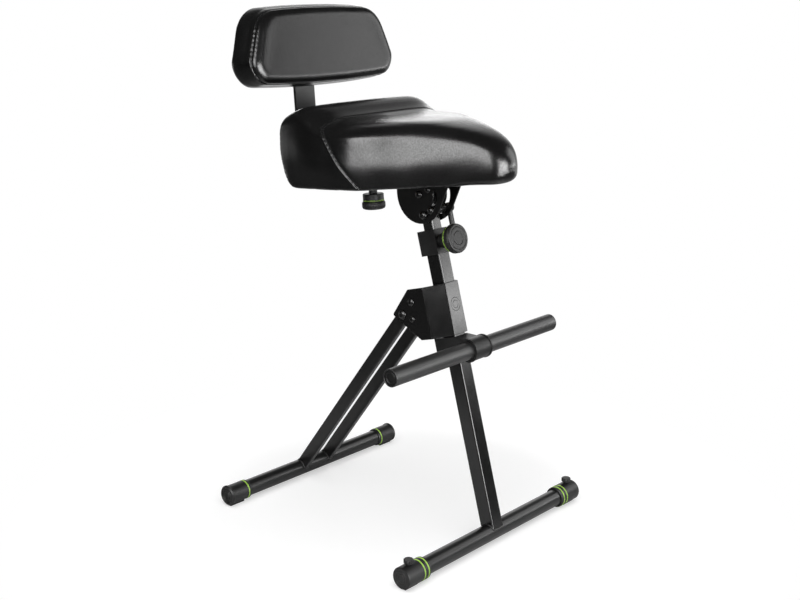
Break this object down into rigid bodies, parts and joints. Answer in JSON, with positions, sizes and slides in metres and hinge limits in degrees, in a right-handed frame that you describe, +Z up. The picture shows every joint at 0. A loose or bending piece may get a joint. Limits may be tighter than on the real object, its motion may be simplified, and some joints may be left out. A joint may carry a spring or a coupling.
{
  "type": "folding sit-stand stool",
  "caption": "Folding sit-stand stool: leaning telescopic post, folding rear legs, sliding footrest bar, tilting saddle seat and a sliding backrest.",
  "frame": {"origin": "on the floor, under the middle of the stool's bounding box", "axes": "+Z up, -Y the way the sitter faces, +X to the sitter's left"},
  "size_m": [0.5, 0.5246, 0.9522],
  "materials": {
    "black_steel": "satin",
    "black_plastic": "satin",
    "black_bolt": "gloss",
    "lime_rubber": "satin",
    "black_leatherette": "satin",
    "plywood": "matte"
  },
  "bodies": {
    "base": {"front_foot_tube": "black_steel", "front_cap_right": "black_plastic", "front_cap_right_ring_1": "lime_rubber", "front_cap_right_ring_2": "lime_rubber", "front_cap_left": "black_plastic", "front_cap_left_ring_1": "lime_rubber", "front_cap_left_ring_2": "lime_rubber", "outer_post": "black_steel", "hinge_bracket": "black_steel", "fold_pivot_bolt": "black_bolt", "fold_pivot_nut": "black_bolt", "leg_stop_bolt": "black_bolt", "leg_stop_sleeve": "black_steel", "bracket_tie_bolt": "black_bolt", "bracket_tie_spacer": "black_steel", "height_collar": "black_plastic", "post_guide_sleeve": "black_plastic"},
    "levelling_screw_right": {"levelling_screw_right": "black_plastic"},
    "levelling_screw_left": {"levelling_screw_left": "black_plastic"},
    "rear_legs": {"rear_leg_right": "black_steel", "rear_leg_left": "black_steel", "leg_spacer_tube": "black_steel", "rear_foot_tube": "black_steel", "rear_cap_right": "black_plastic", "rear_cap_right_ring": "lime_rubber", "rear_cap_left": "black_plastic", "rear_cap_left_ring": "lime_rubber"},
    "footrest": {"footrest_clamp": "black_plastic", "footrest_bar": "black_steel", "footrest_plug_right": "black_plastic", "footrest_plug_left": "black_plastic", "footrest_clamp_screw": "black_bolt"},
    "height_knob": {"height_knob": "black_plastic", "height_knob_ring": "lime_rubber", "height_knob_stud": "black_bolt"},
    "seat_post": {"inner_post": "black_steel", "inner_post_glide": "black_plastic", "tilt_clamp_lug": "black_steel", "tilt_pivot_bolt": "black_bolt", "tilt_pivot_nut": "black_bolt", "tilt_stop_pin": "black_bolt", "tilt_spacer_right": "black_steel", "tilt_spacer_left": "black_steel"},
    "tilt_lever": {"tilt_lever": "black_plastic", "tilt_clamp_bolt": "black_bolt"},
    "seat": {"tilt_plate_right": "black_steel", "tilt_plate_left": "black_steel", "tilt_tie_pin": "black_bolt", "seat_board": "plywood", "seat_cushion": "black_leatherette", "arm_guide": "black_steel"},
    "backrest": {"backrest_arm": "black_steel", "backrest_board": "plywood", "backrest_cushion": "black_leatherette", "backrest_screw_1": "black_bolt", "backrest_screw_2": "black_bolt"},
    "arm_knob": {"arm_knob": "black_plastic", "arm_knob_ring": "lime_rubber"}
  },
  "joints": [
    {"name": "rear_leg_fold", "type": "hinge", "parent": "base", "child": "rear_legs", "pos_m": [0, -0.04952, 0.4057], "axis": [-1, 0, 0], "range_deg": [0, 52.5]},
    {"name": "footrest_slide", "type": "slide", "parent": "base", "child": "footrest", "axis": [0, 0.2672, 0.9636], "range_m": [-0.16, 0]},
    {"name": "height_knob_turn", "type": "hinge", "parent": "base", "child": "height_knob", "pos_m": [0, -0.09083, 0.54116], "axis": [0, -0.9636, 0.2672], "range_deg": [0, 360]},
    {"name": "seat_height", "type": "slide", "parent": "base", "child": "seat_post", "axis": [0, 0.2672, 0.9636], "range_m": [-0.01, 0.2]},
    {"name": "tilt_lever_swing", "type": "hinge", "parent": "seat_post", "child": "tilt_lever", "pos_m": [0, -0.09506, 0.60125], "axis": [-1, 0, 0], "range_deg": [0, 45]},
    {"name": "seat_tilt", "type": "hinge", "parent": "seat_post", "child": "seat", "pos_m": [0, -0.06704, 0.62692], "axis": [1, 0, 0], "range_deg": [0, 45]},
    {"name": "backrest_slide", "type": "slide", "parent": "seat", "child": "backrest", "axis": [0, 0.9968, -0.0802], "range_m": [-0.045, 0.015]},
    {"name": "arm_knob_turn", "type": "hinge", "parent": "seat", "child": "arm_knob", "pos_m": [0, 0.06453, 0.61634], "axis": [0, -0.0802, -0.9968], "range_deg": [0, 360]},
    {"name": "levelling_screw_right_turn", "type": "hinge", "parent": "base", "child": "levelling_screw_right", "pos_m": [-0.231, -0.23513, 0.03], "axis": [0, 0, 1], "continuous": true},
    {"name": "levelling_screw_left_turn", "type": "hinge", "parent": "base", "child": "levelling_screw_left", "pos_m": [0.231, -0.23513, 0.03], "axis": [0, 0, 1], "continuous": true}
  ]
}
